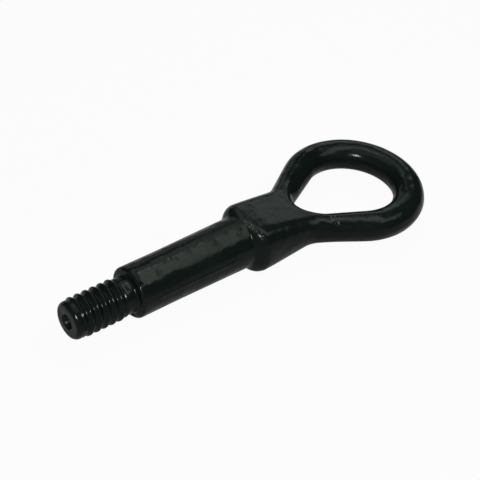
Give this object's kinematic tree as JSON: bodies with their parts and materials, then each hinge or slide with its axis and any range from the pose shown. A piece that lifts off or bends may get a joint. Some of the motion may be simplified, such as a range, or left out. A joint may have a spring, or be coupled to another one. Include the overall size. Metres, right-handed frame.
{
  "type": "tow hook",
  "caption": "Screw-in towing eye: a coarse left-hand threaded stem, a round shank with a seating shoulder, a squared collar, and a forked ring that takes the tow rope.",
  "frame": {"origin": "middle of the shoulder plane, where the axis of the shank meets the face that seats against the socket", "axes": "+X along the axis from the threaded stem to the ring, +Z square to the plane of the ring, Y across the ring"},
  "size_m": [0.1933, 0.0678, 0.0242],
  "materials": {
    "black_paint": "thin glossy black paint over forged steel"
  },
  "bodies": {
    "root": {"tow_eye": "black_paint"}
  },
  "joints": []
}
